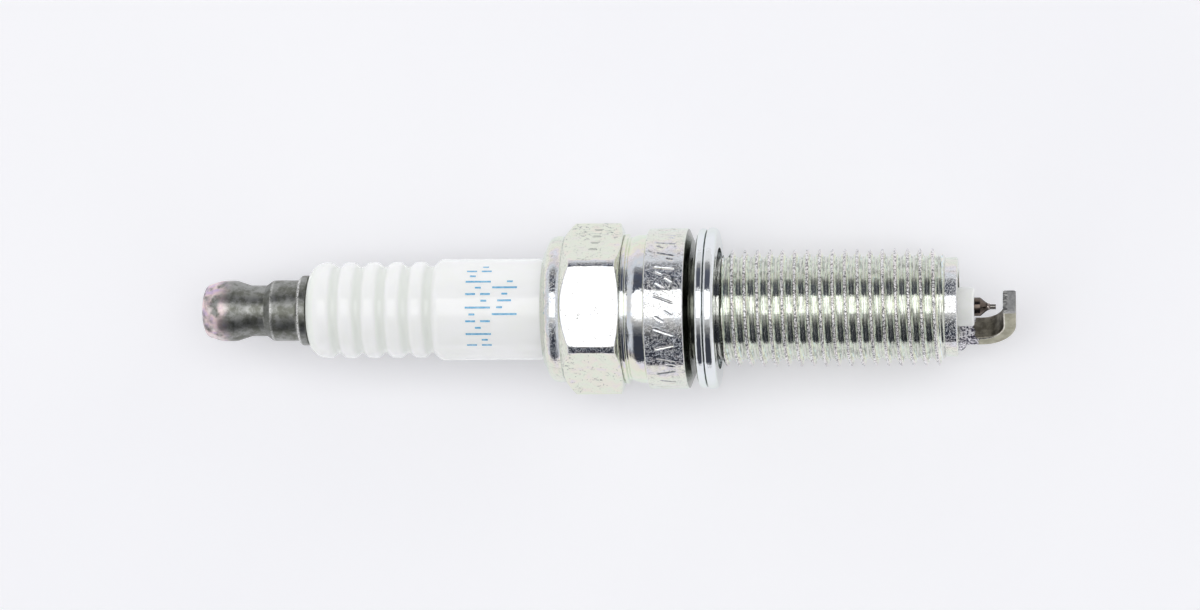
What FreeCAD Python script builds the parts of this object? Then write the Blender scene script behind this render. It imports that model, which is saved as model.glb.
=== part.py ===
import FreeCAD, Part

import math
import os

# A fine-wire spark plug with a folded captive gasket, in millimetres.
#
# The plug's axis is the X axis. +X points towards the firing end, and +Z is the normal of one hexagon flat.
# The origin is the centre of the gasket's sealing face, so the reach into the engine is measured from x = 0.
# Every round piece is an outline in the (x, r) half plane, turned about X.

Vector = FreeCAD.Vector
ORIGIN = Vector(0, 0, 0)
AXIS = Vector(1, 0, 0)

# ---- standard sizes ------------------------------------------------------------------------------

THREAD_PITCH = 1.25          # M12 x 1.25, right-handed
THREAD_MAJOR_R = 5.925
THREAD_MINOR_R = 5.17
THREAD_FLANK_DEG = 30.0      # half of the thread's 60 degree angle
ROOT_FLAT = THREAD_PITCH / 5.6
HEX_ACROSS_FLATS = 15.3      # a slack fit in a 16 mm plug socket
SPARK_GAP = 0.70

# ---- shell ---------------------------------------------------------------------------------------

LIP_TOP = -17.6              # crimped lip, where the insulator leaves the shell
LIP_THICKNESS = 1.0
LIP_R = 7.40
LIP_END = -15.75
HEX_START = -14.5            # full hexagon corners from here to HEX_END
HEX_END = -9.9
HEX_CORNER_R = 8.64
HEX_FACE = -9.42             # end of the chamfer that faces the waist
HEX_FACE_R = 7.5
BEAD_START = -9.3            # small bead between the hexagon and the waist
BEAD_END = -9.0
BEAD_R = 7.62
WAIST_START_R = 7.3
WAIST_END_R = 7.48
BAND_START = -7.0
BAND_END = -3.5
BAND_R = 8.12
SHOULDER = -2.6
SHOULDER_R = 6.95            # a cone drops from the band to the face that presses on the gasket
NECK_R = 5.12
THREAD_START = 0.3
THREAD_END = 22.7
PILOT_R = 5.0
SHELL_END = 23.95
END_BORE_R = 3.72
UPPER_BORE_R = 6.2
LOWER_BORE_R = 4.1
LEDGE_R = 3.38
LEDGE_START = 12.0
LEDGE_END = 14.6
HELIX_START = 0.4225 - THREAD_PITCH

# ---- insulator -----------------------------------------------------------------------------------

INSULATOR_TOP = -41.7
TOP_ROUNDING = 1.8
RIB_R = 4.84
RIB_GROOVE_R = 4.36
RIB_FIRST = -38.7            # centre of the first rib groove
RIB_PITCH = 2.385
RIB_GROOVES = 5
BARREL_R = 5.1
UNGLAZED_R = 5.04            # the glaze stops just inside the shell's lip
FLANGE_R = 6.15
FLANGE_END = -5.3
MIDDLE_R = 4.0
SEAT_START = 11.5
NOSE_ROOT_R = 3.2
NOSE_TIP_R = 1.93
NOSE_TIP = 25.5
SHAFT_BORE_R = 1.75
ELECTRODE_BORE_R = 0.98
BORE_STEP = 6.2

# ---- packing between shell and insulator -----------------------------------------------------------

RING_WIRE_R = 0.57
RING_CLEARANCE = 0.02
UPPER_RING_X = LIP_TOP + LIP_THICKNESS + RING_WIRE_R + RING_CLEARANCE
LOWER_RING_X = -11.15
FLANGE_START = LOWER_RING_X + RING_WIRE_R + RING_CLEARANCE
SEAT_PACKING_INNER_R = 3.42
SEAT_PACKING_OUTER_R = 3.95

# ---- terminal ------------------------------------------------------------------------------------

TERMINAL_END = -52.6
TERMINAL_BULB_X = -49.8
TERMINAL_R = 3.08            # of the bulb and of the post, so a cap's clip passes one to grip the other
TERMINAL_NECK_START = -47.75
TERMINAL_NECK_END = -46.1
TERMINAL_NECK_R = 2.58
TERMINAL_POST_START = -45.4
TERMINAL_FLANGE_START = -42.7
TERMINAL_FLANGE_R = 3.55
STEM_R = 1.6
STEM_GROOVE_R = 1.35
STEM_GROOVES = 4
STEM_GROOVE_PITCH = 0.8
STEM_END = -12.0

# ---- core pieces ---------------------------------------------------------------------------------

RESISTOR_START = -8.5
RESISTOR_END = -0.4
UPPER_SEAL_START = -16.0
HEAD_TOP = 4.0
HEAD_KNOB_R = 1.1
HEAD_FLANGE_START = 5.1
HEAD_FLANGE_R = 1.6
ELECTRODE_R = 0.94
ELECTRODE_SHOULDER = 26.1
ELECTRODE_CONE_END = 26.8
ELECTRODE_CONE_R = 0.42
CORE_R = 0.5
CORE_END = 24.6
TIP_R = 0.27
TIP_ROOT = 26.2
TIP_END = 27.65
WELD_R = 0.36
WELD_LENGTH = 0.28

# ---- gasket --------------------------------------------------------------------------------------

GASKET_OUTER_R = 8.15
GASKET_LIP_R = 5.6           # the inner bend, which the thread keeps from coming off
GASKET_FACE_R = 6.3          # inner edge of the two flat outer layers
GASKET_THICKNESS = 2.0
GASKET_SHEET = 0.4
GASKET_SEAM_X = -1.13        # where the two outer rolls meet
GASKET_SEAM_GAP = 0.06
GASKET_ROLL_STEP = 0.08      # the roll nearer the shell is this much smaller in radius

# ---- ground electrode ----------------------------------------------------------------------------

STRAP_THICKNESS = 1.3
STRAP_WIDTH = 2.6
STRAP_OUTER_R = 5.02
STRAP_PAST_AXIS = 0.95
STRAP_BEND_R = 2.2           # inside of the bend
STRAP_EDGE = 0.16
STRAP_TURN_DEG = 237.7       # where the strap stands round the axis, from +Y towards +Z
FLASH_LENGTH = 0.75          # weld flash round the strap's root
FLASH_WIDTH = 0.45
FLASH_OUTER_R = THREAD_MINOR_R - 0.05


def rounded_outline(corners):
    """A closed face from (x, r) or (x, r, rounding) corners, with each rounding as a tangent arc."""
    edges = []
    count = len(corners)
    starts = []
    ends = []
    arcs = []
    for index, corner in enumerate(corners):
        here = Vector(corner[0], corner[1], 0)
        if len(corner) == 2:
            starts.append(here)
            ends.append(here)
            arcs.append(None)
            continue
        before = corners[index - 1]
        after = corners[(index + 1) % count]
        into = (Vector(before[0], before[1], 0) - here).normalize()
        out = (Vector(after[0], after[1], 0) - here).normalize()
        half = into.getAngle(out) / 2
        reach = corner[2] / math.tan(half)
        middle = (into + out).normalize()
        centre = here + middle * (corner[2] / math.sin(half))
        starts.append(here + into * reach)
        ends.append(here + out * reach)
        arcs.append(centre - middle * corner[2])
    for index in range(count):
        if arcs[index] is not None:
            edges.append(Part.Arc(starts[index], arcs[index], ends[index]).toShape())
        following = starts[(index + 1) % count]
        if (following - ends[index]).Length > 1e-6:
            edges.append(Part.LineSegment(ends[index], following).toShape())
    return Part.Face(Part.Wire(edges))


def turned(corners):
    """A solid of revolution about the X axis."""
    return rounded_outline(corners).revolve(ORIGIN, AXIS, 360)


def rod(radius, start, end):
    """A plain cylinder along the X axis."""
    return Part.makeCylinder(radius, end - start, Vector(start, 0, 0), AXIS)


def wire_ring(wire_radius, x):
    """A packing ring of round wire, centred in the gap between the insulator and the shell's upper bore."""
    ring_radius = (UNGLAZED_R + UPPER_BORE_R) / 2
    return Part.makeTorus(ring_radius, wire_radius, Vector(x, 0, 0), AXIS)


def single_solid(shape):
    """The one solid inside a boolean result."""
    return shape.Solids[0]


def terminal_stud():
    """A one-piece terminal: bulb, neck, post and flange outside, with a grooved stem down the bore."""
    corners = [
        (TERMINAL_END, 0),
        (TERMINAL_END + 0.05, 1.9, 2.0),
        (TERMINAL_END + 0.4, 2.62, 0.8),
        (TERMINAL_BULB_X - 0.9, TERMINAL_R, 2.0),
        (TERMINAL_BULB_X + 0.6, TERMINAL_R, 2.0),
        (TERMINAL_NECK_START, TERMINAL_NECK_R, 1.2),
        (TERMINAL_NECK_END, TERMINAL_NECK_R, 0.3),
        (TERMINAL_POST_START, TERMINAL_R, 0.25),
        (TERMINAL_FLANGE_START, TERMINAL_R, 0.12),
        (TERMINAL_FLANGE_START, TERMINAL_FLANGE_R, 0.42),
        (INSULATOR_TOP, TERMINAL_FLANGE_R, 0.1),
        (INSULATOR_TOP, STEM_R),
    ]
    first_groove = STEM_END - STEM_GROOVES * STEM_GROOVE_PITCH
    for number in range(STEM_GROOVES):
        left = first_groove + number * STEM_GROOVE_PITCH
        corners += [
            (left, STEM_R),
            (left + 0.2, STEM_GROOVE_R),
            (left + 0.4, STEM_GROOVE_R),
            (left + 0.6, STEM_R),
        ]
    corners += [
        (STEM_END, STEM_R, 0.3),
        (STEM_END, 0),
    ]
    return turned(corners)


def insulator():
    """The glazed ceramic body: ribbed top, barrel, clamping flange, middle, seat cone and nose."""
    corners = [
        (INSULATOR_TOP, SHAFT_BORE_R),
        (INSULATOR_TOP, RIB_R, TOP_ROUNDING),
    ]
    for number in range(RIB_GROOVES):
        centre = RIB_FIRST + number * RIB_PITCH
        last = number == RIB_GROOVES - 1
        exit_r = BARREL_R if last else RIB_R
        corners += [
            (centre - 0.72, RIB_R, 0.7),
            (centre - 0.2, RIB_GROOVE_R, 0.5),
            (centre + 0.2, RIB_GROOVE_R, 0.5),
            (centre + 0.72 + (exit_r - RIB_R), exit_r, 0.7),
        ]
    corners += [
        (LIP_TOP + 0.3, BARREL_R),
        (LIP_TOP + 0.4, UNGLAZED_R),
        (FLANGE_START, UNGLAZED_R),
        (FLANGE_START, FLANGE_R, 0.6),
        (FLANGE_END, FLANGE_R, 0.4),
        (FLANGE_END + 2.0, MIDDLE_R, 0.6),
        (SEAT_START, MIDDLE_R),
        (SEAT_START + MIDDLE_R - NOSE_ROOT_R, NOSE_ROOT_R, 0.3),
        (NOSE_TIP - 2.6, NOSE_TIP_R, 3.0),
        (NOSE_TIP, NOSE_TIP_R, 0.22),
        (NOSE_TIP, ELECTRODE_BORE_R, 0.1),
        (BORE_STEP + SHAFT_BORE_R - ELECTRODE_BORE_R, ELECTRODE_BORE_R),
        (BORE_STEP, SHAFT_BORE_R),
    ]
    return turned(corners)


def thread_cutter():
    """The V of the thread swept along a right-handed helix that runs out past both ends."""
    outside_r = THREAD_MAJOR_R + 0.1
    half_root = ROOT_FLAT / 2
    half_mouth = half_root + (outside_r - THREAD_MINOR_R) * math.tan(math.radians(THREAD_FLANK_DEG))
    turns = math.ceil((THREAD_END - HELIX_START) / THREAD_PITCH) + 1
    helix = Part.makeLongHelix(THREAD_PITCH, turns * THREAD_PITCH, THREAD_MINOR_R, 0, False)
    section = Part.makePolygon([
        Vector(THREAD_MINOR_R, 0, -half_root),
        Vector(outside_r, 0, -half_mouth),
        Vector(outside_r, 0, half_mouth),
        Vector(THREAD_MINOR_R, 0, half_root),
        Vector(THREAD_MINOR_R, 0, -half_root),
    ])
    cutter = Part.Wire(helix.Edges).makePipeShell([section], True, True)
    cutter.rotate(ORIGIN, Vector(0, 1, 0), 90)
    cutter.translate(Vector(HELIX_START, 0, 0))
    return cutter


def hexagon():
    """A hexagonal bar along X with one pair of flats square to Z, as wide as the spanner size."""
    corner_r = HEX_ACROSS_FLATS / 2 / math.cos(math.radians(30))
    corners = []
    for number in range(7):
        angle = math.radians(60 * number)
        corners.append(Vector(LIP_END, corner_r * math.cos(angle), corner_r * math.sin(angle)))
    bar = Part.Face(Part.makePolygon(corners)).extrude(Vector(HEX_FACE - LIP_END, 0, 0))
    return bar


def shell():
    """The steel shell: crimped lip, hexagon, waist, band, neck, M12 thread and pilot, bored through."""
    lip_bore_r = BARREL_R + 0.04
    lip_inside = LIP_TOP + LIP_THICKNESS
    neck = turned([
        (LIP_TOP, 0),
        (LIP_TOP, LIP_R - 1.2, 0.7),
        (LIP_TOP + 1.0, LIP_R, 1.1),
        (LIP_END + 0.25, LIP_R),
        (LIP_END + 0.25, HEX_FACE_R - 0.2),
        (BEAD_START, HEX_FACE_R - 0.2),
        (BEAD_START, BEAD_R, 0.12),
        (BEAD_END, BEAD_R, 0.12),
        (BEAD_END + 0.15, WAIST_START_R, 0.15),
        (BAND_START, WAIST_END_R),
        (BAND_START, BAND_R, 0.15),
        (BAND_END, BAND_R, 0.3),
        (SHOULDER, SHOULDER_R, 0.1),
        (SHOULDER, NECK_R, 0.15),
        (THREAD_START, NECK_R),
        (THREAD_START, THREAD_MAJOR_R),
        (THREAD_END - 0.55, THREAD_MAJOR_R),
        (THREAD_END, PILOT_R),
        (SHELL_END, PILOT_R, 0.2),
        (SHELL_END, 0),
    ])
    spanner_limits = turned([
        (LIP_END, 0),
        (LIP_END, LIP_R + 0.05),
        (HEX_START, HEX_CORNER_R, 0.3),
        (HEX_END, HEX_CORNER_R),
        (HEX_FACE, HEX_FACE_R),
        (HEX_FACE, 0),
    ])
    bore = turned([
        (LIP_TOP - 1, 0),
        (LIP_TOP - 1, lip_bore_r),
        (lip_inside, lip_bore_r),
        (lip_inside, UPPER_BORE_R, 0.5),
        (FLANGE_END + 0.1, UPPER_BORE_R, 0.3),
        (FLANGE_END + 2.2, LOWER_BORE_R),
        (LEDGE_START, LOWER_BORE_R),
        (LEDGE_START + LOWER_BORE_R - LEDGE_R, LEDGE_R),
        (LEDGE_END, LEDGE_R),
        (LEDGE_END + 0.5, END_BORE_R),
        (SHELL_END + 1, END_BORE_R),
        (SHELL_END + 1, 0),
    ])
    body = neck.fuse(hexagon().common(spanner_limits)).cut(bore).removeSplitter()
    return single_solid(body.cut(thread_cutter()))


def center_electrode():
    """The nickel electrode: a head that seats on the bore's step, and a shank with a coned end."""
    head_cone_start = BORE_STEP + SHAFT_BORE_R - HEAD_FLANGE_R - 0.02
    outside = turned([
        (HEAD_TOP, 0),
        (HEAD_TOP, HEAD_KNOB_R, 0.15),
        (HEAD_FLANGE_START, HEAD_KNOB_R, 0.15),
        (HEAD_FLANGE_START, HEAD_FLANGE_R, 0.2),
        (head_cone_start, HEAD_FLANGE_R),
        (head_cone_start + HEAD_FLANGE_R - ELECTRODE_R, ELECTRODE_R),
        (ELECTRODE_SHOULDER, ELECTRODE_R, 0.1),
        (ELECTRODE_CONE_END, ELECTRODE_CONE_R),
        (ELECTRODE_CONE_END, 0),
    ])
    pocket = rod(TIP_R, TIP_ROOT, ELECTRODE_CONE_END + 1)
    return single_solid(outside.cut(copper_core()).cut(pocket))


def copper_core():
    """The copper that carries heat up the electrode, open at the head and pointed at the nose."""
    return turned([
        (HEAD_TOP, 0),
        (HEAD_TOP, CORE_R),
        (CORE_END, CORE_R, 0.3),
        (CORE_END + 0.7, 0),
    ])


def iridium_tip():
    """The fine wire that the spark jumps from."""
    return turned([
        (TIP_ROOT, 0),
        (TIP_ROOT, TIP_R),
        (TIP_END, TIP_R, 0.03),
        (TIP_END, 0),
    ])


def tip_weld():
    """The laser-melted collar that joins the wire to the electrode's cone."""
    return turned([
        (ELECTRODE_CONE_END, TIP_R),
        (ELECTRODE_CONE_END, WELD_R, 0.03),
        (ELECTRODE_CONE_END + WELD_LENGTH / 2, WELD_R, 0.1),
        (ELECTRODE_CONE_END + WELD_LENGTH, TIP_R),
    ])


def gasket():
    """A captive gasket of folded sheet: four layers, two outer rolls, and a seam between the rolls."""
    left = -GASKET_THICKNESS
    seam_right = GASKET_SEAM_X + GASKET_SEAM_GAP / 2
    seam_left = GASKET_SEAM_X - GASKET_SEAM_GAP / 2
    left_r = GASKET_OUTER_R - GASKET_ROLL_STEP
    roll = 0.9 * GASKET_SHEET
    seam_floor = GASKET_LIP_R + GASKET_SHEET
    return turned([
        (0, GASKET_FACE_R, 0.1),
        (0, GASKET_OUTER_R, 0.52),
        (seam_right, GASKET_OUTER_R, 0.52),
        (seam_right, seam_floor),
        (seam_left, seam_floor),
        (seam_left, left_r, roll),
        (left, left_r, roll),
        (left, GASKET_FACE_R, 0.1),
        (left + GASKET_SHEET, GASKET_FACE_R, 0.1),
        (left + GASKET_SHEET, left_r - GASKET_SHEET),
        (seam_left - GASKET_SHEET, left_r - GASKET_SHEET),
        (seam_left - GASKET_SHEET, GASKET_LIP_R, 0.35),
        (seam_right + GASKET_SHEET, GASKET_LIP_R, 0.35),
        (seam_right + GASKET_SHEET, GASKET_OUTER_R - GASKET_SHEET),
        (-GASKET_SHEET, GASKET_OUTER_R - GASKET_SHEET),
        (-GASKET_SHEET, GASKET_FACE_R, 0.1),
    ])


def place_round_axis(shape):
    """Turn a piece drawn above the axis, in the (X, Y) plane, to where the strap stands."""
    shape.rotate(ORIGIN, AXIS, STRAP_TURN_DEG)
    return shape


def ground_electrode():
    """The J-shaped nickel strap, welded to the shell's end and bent over the tip."""
    inner_x = TIP_END + SPARK_GAP
    outer_x = inner_x + STRAP_THICKNESS
    inner_r = STRAP_OUTER_R - STRAP_THICKNESS
    face = rounded_outline([
        (SHELL_END, inner_r),
        (inner_x, inner_r, STRAP_BEND_R),
        (inner_x, -STRAP_PAST_AXIS),
        (outer_x, -STRAP_PAST_AXIS),
        (outer_x, STRAP_OUTER_R, STRAP_BEND_R + STRAP_THICKNESS),
        (SHELL_END, STRAP_OUTER_R),
    ])
    strap = face.extrude(Vector(0, 0, STRAP_WIDTH))
    strap.translate(Vector(0, 0, -STRAP_WIDTH / 2))
    side_edges = []
    for edge in strap.Edges:
        along_side = all(abs(abs(v.Point.z) - STRAP_WIDTH / 2) < 1e-6 for v in edge.Vertexes)
        same_side = abs(edge.Vertexes[0].Point.z - edge.Vertexes[-1].Point.z) < 1e-6
        at_shell = all(abs(v.Point.x - SHELL_END) < 1e-6 for v in edge.Vertexes)
        at_cut = all(abs(v.Point.y + STRAP_PAST_AXIS) < 1e-6 for v in edge.Vertexes)
        if along_side and same_side and not at_shell and not at_cut:
            side_edges.append(edge)
    return place_round_axis(strap.makeFillet(STRAP_EDGE, side_edges))


def strap_weld():
    """The flash squeezed out round the strap's root when it was resistance-welded to the shell."""
    inner_r = STRAP_OUTER_R - STRAP_THICKNESS
    height = FLASH_OUTER_R - inner_r
    width = STRAP_WIDTH + 2 * FLASH_WIDTH
    block = Part.makeBox(FLASH_LENGTH, height, width, Vector(SHELL_END, inner_r, -width / 2))
    front_edges = []
    for edge in block.Edges:
        if all(v.Point.x > SHELL_END + FLASH_LENGTH / 2 for v in edge.Vertexes):
            front_edges.append(edge)
    flash = block.makeFillet(0.35, front_edges)
    strap_space = Part.makeBox(
        FLASH_LENGTH + 1, STRAP_THICKNESS, STRAP_WIDTH, Vector(SHELL_END, inner_r, -STRAP_WIDTH / 2)
    )
    return place_round_axis(single_solid(flash.cut(strap_space)))


def seat_packing():
    """The thin steel cone between the insulator's seat and the shell's ledge."""
    insulator_x = SEAT_START + MIDDLE_R
    ledge_x = LEDGE_START + LOWER_BORE_R
    return turned([
        (insulator_x - SEAT_PACKING_OUTER_R, SEAT_PACKING_OUTER_R),
        (ledge_x - SEAT_PACKING_OUTER_R, SEAT_PACKING_OUTER_R),
        (ledge_x - SEAT_PACKING_INNER_R, SEAT_PACKING_INNER_R),
        (insulator_x - SEAT_PACKING_INNER_R, SEAT_PACKING_INNER_R),
    ])


def talc_fill():
    """Packed talc between the two wire rings."""
    sleeve = rod(UPPER_BORE_R, UPPER_RING_X, LOWER_RING_X).cut(rod(UNGLAZED_R, UPPER_RING_X, LOWER_RING_X))
    rings = wire_ring(RING_WIRE_R, UPPER_RING_X).fuse(wire_ring(RING_WIRE_R, LOWER_RING_X))
    pieces = sleeve.cut(rings).Solids
    return max(pieces, key=lambda piece: piece.Volume)


def upper_glass_seal():
    """Conductive glass fused round the end of the terminal's stem."""
    return single_solid(rod(SHAFT_BORE_R, UPPER_SEAL_START, RESISTOR_START).cut(terminal_stud()))


def resistor():
    """The carbon and glass resistor that damps radio noise."""
    return rod(SHAFT_BORE_R, RESISTOR_START, RESISTOR_END)


def lower_glass_seal():
    """Conductive glass fused round the electrode's head."""
    seal = rod(SHAFT_BORE_R, RESISTOR_END, BORE_STEP)
    return single_solid(seal.cut(center_electrode()).cut(copper_core()))


NODES = {
    "terminal_stud": terminal_stud(),
    "insulator": insulator(),
    "upper_glass_seal": upper_glass_seal(),
    "resistor": resistor(),
    "lower_glass_seal": lower_glass_seal(),
    "center_electrode": center_electrode(),
    "copper_core": copper_core(),
    "iridium_tip": iridium_tip(),
    "tip_weld": tip_weld(),
    "shell": shell(),
    "upper_packing_ring": wire_ring(RING_WIRE_R, UPPER_RING_X),
    "talc_fill": talc_fill(),
    "lower_packing_ring": wire_ring(RING_WIRE_R, LOWER_RING_X),
    "seat_packing": seat_packing(),
    "gasket": gasket(),
    "ground_electrode": ground_electrode(),
    "strap_weld": strap_weld(),
}

os.makedirs("parts", exist_ok=True)
for node, shape in NODES.items():
    shape.exportStep("parts/" + node + ".step")
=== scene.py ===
import math

import bmesh
import bpy
from mathutils import Matrix, Vector, noise


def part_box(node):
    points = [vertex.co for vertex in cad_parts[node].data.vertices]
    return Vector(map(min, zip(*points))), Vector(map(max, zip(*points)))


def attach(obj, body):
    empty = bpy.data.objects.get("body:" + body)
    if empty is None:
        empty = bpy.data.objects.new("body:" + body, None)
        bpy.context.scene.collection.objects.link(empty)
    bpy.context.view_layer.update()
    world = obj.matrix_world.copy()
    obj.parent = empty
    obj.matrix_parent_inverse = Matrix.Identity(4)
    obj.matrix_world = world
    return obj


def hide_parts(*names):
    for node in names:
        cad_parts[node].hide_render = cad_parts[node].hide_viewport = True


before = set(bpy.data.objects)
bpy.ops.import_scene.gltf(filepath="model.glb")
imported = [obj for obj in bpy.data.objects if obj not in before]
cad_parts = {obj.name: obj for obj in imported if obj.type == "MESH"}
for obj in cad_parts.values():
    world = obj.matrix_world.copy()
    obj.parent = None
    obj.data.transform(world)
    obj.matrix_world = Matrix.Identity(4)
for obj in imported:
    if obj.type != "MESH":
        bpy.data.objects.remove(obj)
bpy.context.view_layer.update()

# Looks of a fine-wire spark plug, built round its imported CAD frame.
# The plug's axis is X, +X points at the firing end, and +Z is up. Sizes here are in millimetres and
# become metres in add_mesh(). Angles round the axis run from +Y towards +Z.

MM = 0.001


def cad_box(node):
    """A CAD node's lowest and highest corners in millimetres."""
    low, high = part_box(node)
    return low / MM, high / MM


# ---- sizes that more than one piece or material needs ----

TERMINAL_LOW, TERMINAL_HIGH = cad_box("terminal_stud")
INSULATOR_LOW, INSULATOR_HIGH = cad_box("insulator")
SHELL_LOW, SHELL_HIGH = cad_box("shell")
GASKET_LOW, GASKET_HIGH = cad_box("gasket")
ELECTRODE_LOW, ELECTRODE_HIGH = cad_box("center_electrode")
WELD_LOW, WELD_HIGH = cad_box("tip_weld")
TIP_LOW, TIP_HIGH = cad_box("iridium_tip")
STRAP_LOW, STRAP_HIGH = cad_box("ground_electrode")

# Insulator
BARREL_R = 5.1
RIB_R = 4.84
RIB_GROOVE_R = 4.36
RIBS_END = -28.0             # where the ribs give way to the barrel
BORE_R = 1.75

# Shell, from left to right
LIP_END = SHELL_LOW.x + 2.07
HEX_LEFT = LIP_END + 0.01
HEX_FULL_LEFT = -14.5        # the corners reach their full radius between these two
HEX_FULL_RIGHT = -9.9
HEX_RIGHT = -9.42
HEX_FLAT_R = 7.65
HEX_CORNER_R = 8.64
HEX_SIDES = 6
CORNER_STRIP_DEG = 30 - math.degrees(math.acos(HEX_FLAT_R / HEX_CORNER_R))  # half a turned corner
WAIST_LEFT = -8.86
BAND_LEFT = -7.0
BAND_RIGHT = -3.08
SHOULDER = -2.6
NECK_R = 5.12
THREAD_PITCH = 1.25
THREAD_MAJOR_R = 5.925
THREAD_MINOR_R = 5.17
THREAD_START = 0.3
THREAD_END = 22.7
THREAD_PHASE = 0.4225        # a groove's centre, at -Z
PILOT_R = 5.0

# Ground strap
STRAP_TURN_DEG = 237.7
STRAP_THICKNESS = 1.3
STRAP_WIDTH = 2.6
STRAP_MIDDLE_R = 5.02 - STRAP_THICKNESS / 2
STRAP_BEND_R = 2.2 + STRAP_THICKNESS / 2     # of the mid line
STRAP_PAST_AXIS = 0.95
STRAP_TIP_X = STRAP_HIGH.x - STRAP_THICKNESS / 2
STRAP_BEND_X = STRAP_TIP_X - STRAP_BEND_R


# ---- outlines and meshes ----

ROUNDING_STEP_DEG = 9.0      # longest turn between two points of a rounding
ON_AXIS = 1e-9
MERGE = 1e-5                 # points closer than this become one


def outline(corners):
    """Points along (x, r) or (x, r, rounding) corners. Each rounding is an arc that touches both sides."""
    points = []
    last = len(corners) - 1
    for index, corner in enumerate(corners):
        here = Vector(corner[:2])
        if len(corner) == 2 or index in (0, last):
            points.append((here.x, here.y))
            continue
        into = (Vector(corners[index - 1][:2]) - here).normalized()
        out = (Vector(corners[index + 1][:2]) - here).normalized()
        half = into.angle(out) / 2
        turn = math.pi - 2 * half
        centre = here + (into + out).normalized() * (corner[2] / math.sin(half))
        first = here + into * (corner[2] / math.tan(half)) - centre
        side = 1 if into.x * out.y - into.y * out.x < 0 else -1
        count = max(2, math.ceil(math.degrees(turn) / ROUNDING_STEP_DEG))
        for number in range(count + 1):
            angle = side * turn * number / count
            cosine, sine = math.cos(angle), math.sin(angle)
            points.append((
                centre.x + first.x * cosine - first.y * sine,
                centre.y + first.x * sine + first.y * cosine,
            ))
    return points


def round_axis(x, r, angle):
    return (x, r * math.cos(angle), r * math.sin(angle))


def add_rings(vertices, rows, angles):
    """Add a ring of vertices for each row of one (x, r) to an angle. Returns where each ring starts."""
    starts = []
    for row in rows:
        starts.append(len(vertices))
        for (x, r), angle in zip(row, angles):
            vertices.append(round_axis(x, r, angle))
    return starts


def ring_faces(first, second, count):
    """Quads between two rings of count vertices that start at the given indices."""
    faces = []
    for column in range(count):
        after = (column + 1) % count
        faces.append((first + column, first + after, second + after, second + column))
    return faces


def fan_faces(pole, ring, count):
    return [(pole, ring + column, ring + (column + 1) % count) for column in range(count)]


def add_mesh(name, vertices, faces, *materials, sharp_deg=38.0, body="plug", node=None, slot=None):
    """A piece from millimetre vertices, smooth between its sharp corners, that rides on a body. With a
    node, it stands for that CAD node, whose part is hidden. The slot argument is not used."""
    mesh = bpy.data.meshes.new(name)
    mesh.from_pydata([(x * MM, y * MM, z * MM) for x, y, z in vertices], [], faces)
    work = bmesh.new()
    work.from_mesh(mesh)
    bmesh.ops.remove_doubles(work, verts=work.verts, dist=MERGE * MM)
    bmesh.ops.dissolve_degenerate(work, edges=work.edges, dist=MERGE * MM)
    bmesh.ops.recalc_face_normals(work, faces=work.faces)
    work.to_mesh(mesh)
    work.free()
    for polygon in mesh.polygons:
        polygon.use_smooth = True
    mesh.set_sharp_from_angle(angle=math.radians(sharp_deg))
    for material in materials:
        mesh.materials.append(material)
    piece = bpy.data.objects.new(name, mesh)
    bpy.context.scene.collection.objects.link(piece)
    weighted = piece.modifiers.new("weighted normals", "WEIGHTED_NORMAL")
    weighted.keep_sharp = True
    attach(piece, body)
    if node:
        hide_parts(node)
    return piece


def lathe(name, corners, *materials, columns=96, loop=False, wobble=None, **options):
    """A turned piece. A loop outline closes on itself; an open one starts and ends on the axis. The options
    are those of add_mesh()."""
    points = outline(corners + [corners[0]] if loop else corners)
    if loop:
        points = points[:-1]
    vertices = []
    starts = []
    for x, r in points:
        starts.append(len(vertices))
        if r < ON_AXIS:
            vertices.append((x, 0, 0))
            continue
        for column in range(columns):
            angle = 2 * math.pi * column / columns
            vertices.append(round_axis(x, r + (wobble(x, r, angle) if wobble else 0), angle))
    faces = []
    rows = len(points)
    for row in range(rows if loop else rows - 1):
        following = (row + 1) % rows
        here, after = starts[row], starts[following]
        here_pole, after_pole = points[row][1] < ON_AXIS, points[following][1] < ON_AXIS
        if here_pole and after_pole:
            continue
        if here_pole:
            faces += fan_faces(here, after, columns)
        elif after_pole:
            faces += fan_faces(after, here, columns)
        else:
            faces += ring_faces(here, after, columns)
    return add_mesh(name, vertices, faces, *materials, **options)


def paint(piece, choose):
    """Give each face the one of the piece's materials that choose() picks for it."""
    materials = list(piece.data.materials)
    for polygon in piece.data.polygons:
        polygon.material_index = materials.index(choose(polygon))


# ---- material helpers ----

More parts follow.
